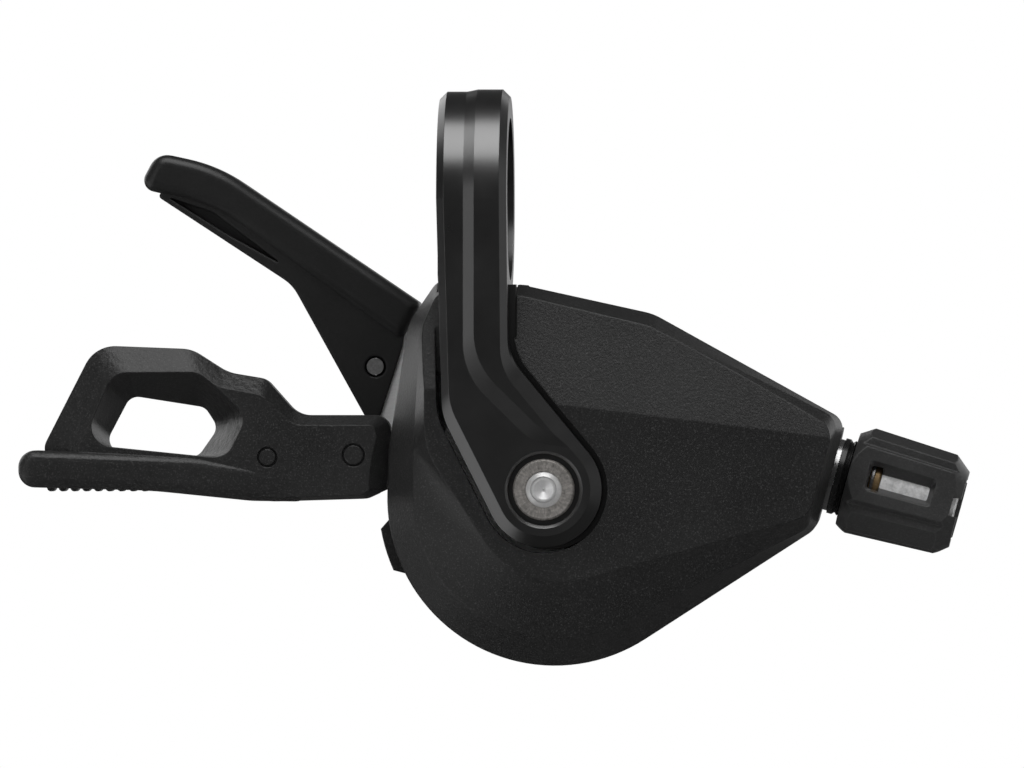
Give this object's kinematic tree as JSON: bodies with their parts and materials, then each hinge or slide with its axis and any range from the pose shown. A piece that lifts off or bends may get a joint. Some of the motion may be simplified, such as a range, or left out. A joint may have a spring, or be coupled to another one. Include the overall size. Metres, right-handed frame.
{
  "type": "trigger gear shifter",
  "caption": "Right-hand trigger gear shifter: handlebar band clamp with arm, faceted cover, thumb lever, looped finger lever and a barrel cable adjuster.",
  "frame": {"origin": "centre of the handlebar clamp's bore", "axes": "+X along the bar towards the cable outlet, +Z from the housing up to the bar, +Y from the front cover to the rear cover"},
  "size_m": [0.1299, 0.0354, 0.0788],
  "materials": {
    "band_anodised": "satin black anodised",
    "cover_plastic": "fine grained black",
    "housing_plastic": "fine grained black",
    "lever_plastic": "grained black",
    "knob_plastic": "smooth satin black",
    "drum_plastic": "plain dark grey",
    "bright_steel": "turned, bright",
    "nut_steel": "turned, dull",
    "plate_steel": "stamped, bare",
    "spring_steel": "drawn",
    "screw_steel": "black coated",
    "rivet_steel": "dark grey, satin",
    "bright_aluminium": "turned, bright"
  },
  "bodies": {
    "housing": {"clamp_band": "band_anodised", "clamp_nut": "nut_steel", "clamp_bolt": "bright_steel", "front_cover": "cover_plastic", "chassis_plate": "plate_steel", "mid_housing": "housing_plastic", "rear_cover": "housing_plastic", "cover_screws": "screw_steel", "main_axle": "bright_steel", "spacer_washers": "plate_steel", "release_return_spring": "spring_steel", "main_return_spring": "spring_steel", "pawl_pin": "bright_steel", "positioning_pawl_spring": "spring_steel", "seat_washer": "bright_steel", "adjuster_socket": "bright_aluminium", "cable_port_plug": "knob_plastic"},
    "main_lever": {"main_lever_plate": "plate_steel", "thumb_lever": "lever_plastic", "lever_rivet": "rivet_steel", "drive_pawl_pin": "bright_steel", "drive_pawl_spring": "spring_steel"},
    "drive_pawl_body": {"drive_pawl": "plate_steel"},
    "release_lever": {"release_lever_plate": "plate_steel", "finger_lever": "lever_plastic"},
    "drum": {"cable_drum": "drum_plastic", "positioning_ratchet": "plate_steel", "feed_ratchet": "plate_steel", "drum_spring": "spring_steel"},
    "positioning_pawl_body": {"positioning_pawl": "plate_steel"},
    "adjuster_barrel": {"detent_ring": "knob_plastic", "adjuster_knob": "knob_plastic", "adjuster_bolt": "bright_aluminium", "adjuster_spring": "spring_steel"}
  },
  "joints": [
    {"name": "main_lever_swing", "type": "hinge", "parent": "housing", "child": "main_lever", "pos_m": [0.0099, 0.014, -0.0397], "axis": [0, -1, 0], "range_deg": [0, 26], "stiffness_Nm_per_rad": 0.6, "springref_deg": -17.19},
    {"name": "drive_pawl_swing", "type": "hinge", "parent": "main_lever", "child": "drive_pawl_body", "pos_m": [-0.00384, 0.0116, -0.04828], "axis": [0, 1, 0], "range_deg": [0, 6], "stiffness_Nm_per_rad": 0.002},
    {"name": "release_lever_swing", "type": "hinge", "parent": "housing", "child": "release_lever", "pos_m": [0.0099, 0.0017, -0.0397], "axis": [0, -1, 0], "range_deg": [-5, 6], "stiffness_Nm_per_rad": 1},
    {"name": "drum_spin", "type": "hinge", "parent": "housing", "child": "drum", "pos_m": [0.0099, 0.0079, -0.0397], "axis": [0, -1, 0], "range_deg": [0, 154]},
    {"name": "positioning_pawl_swing", "type": "hinge", "parent": "housing", "child": "positioning_pawl_body", "pos_m": [0.0233, 0.0042, -0.05017], "axis": [0, 1, 0], "range_deg": [0, 6], "stiffness_Nm_per_rad": 0.002},
    {"name": "adjuster_turn", "type": "hinge", "parent": "housing", "child": "adjuster_barrel", "pos_m": [0.04874, 0.0079, -0.03771], "axis": [0.9636, 0, -0.2672], "range_deg": [0, 1440]}
  ]
}
